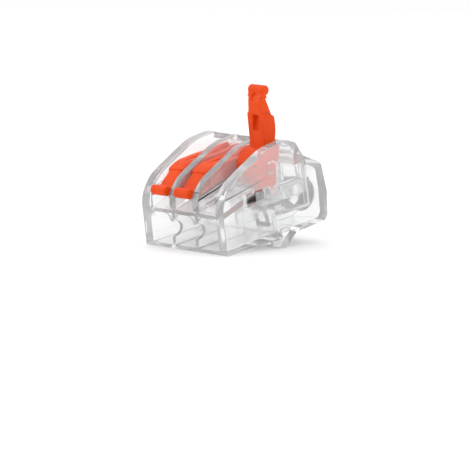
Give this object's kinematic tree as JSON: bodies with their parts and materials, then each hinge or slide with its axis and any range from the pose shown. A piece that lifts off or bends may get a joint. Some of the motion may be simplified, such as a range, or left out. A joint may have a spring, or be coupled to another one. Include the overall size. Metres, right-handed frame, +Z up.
{
  "type": "lever wire connector",
  "caption": "Clear splicing connector with wire entries in front, hinged orange clamping levers on top and cage clamp springs inside.",
  "frame": {"origin": "centre of the bounding box on the surface the connector stands on", "axes": "+Z up from that surface, -Y towards the wire entries, +X across the wire entries towards the open lever; the shell is pitched nose down by 8.4 degrees because it stands on its front edge and latch feet"},
  "size_m": [0.017, 0.0224, 0.024],
  "materials": {
    "clear_shell": "clear polycarbonate",
    "lever_orange": "satin moulded",
    "spring_steel": "rolled strip",
    "tinned_copper": "tin plated"
  },
  "bodies": {
    "shell": {"housing": "clear_shell", "rear_cover": "clear_shell", "current_bar": "tinned_copper"},
    "lever_1": {"lever_1": "lever_orange"},
    "clamp_1": {"clamp_spring_1": "spring_steel"},
    "lever_2": {"lever_2": "lever_orange"},
    "clamp_2": {"clamp_spring_2": "spring_steel"},
    "lever_3": {"lever_3": "lever_orange"},
    "clamp_3": {"clamp_spring_3": "spring_steel"}
  },
  "joints": [
    {"name": "lever_1_swing", "type": "hinge", "parent": "shell", "child": "lever_1", "pos_m": [-0.0048, 0.00023, 0.01201], "axis": [1, 0, 0], "range_deg": [-108, 0]},
    {"name": "clamp_1_flex", "type": "hinge", "parent": "shell", "child": "clamp_1", "pos_m": [-0.0048, 0.0074, 0.00731], "axis": [1, 0, 0], "range_deg": [0, 13], "deforming": ["clamp_spring_1"]},
    {"name": "lever_2_swing", "type": "hinge", "parent": "shell", "child": "lever_2", "pos_m": [0, 0.00023, 0.01201], "axis": [1, 0, 0], "range_deg": [-108, 0]},
    {"name": "clamp_2_flex", "type": "hinge", "parent": "shell", "child": "clamp_2", "pos_m": [0, 0.0074, 0.00731], "axis": [1, 0, 0], "range_deg": [0, 13], "deforming": ["clamp_spring_2"]},
    {"name": "lever_3_swing", "type": "hinge", "parent": "shell", "child": "lever_3", "pos_m": [0.0048, 0.00023, 0.01201], "axis": [1, 0, 0], "range_deg": [0, 108]},
    {"name": "clamp_3_flex", "type": "hinge", "parent": "shell", "child": "clamp_3", "pos_m": [0.0048, 0.0074, 0.00731], "axis": [1, 0, 0], "range_deg": [-13, 0], "deforming": ["clamp_spring_3"]}
  ],
  "couplings": [
    {"joint": "clamp_1_flex", "follows": "lever_1_swing", "ratio": -0.12},
    {"joint": "clamp_2_flex", "follows": "lever_2_swing", "ratio": -0.12},
    {"joint": "clamp_3_flex", "follows": "lever_3_swing", "ratio": -0.12}
  ]
}
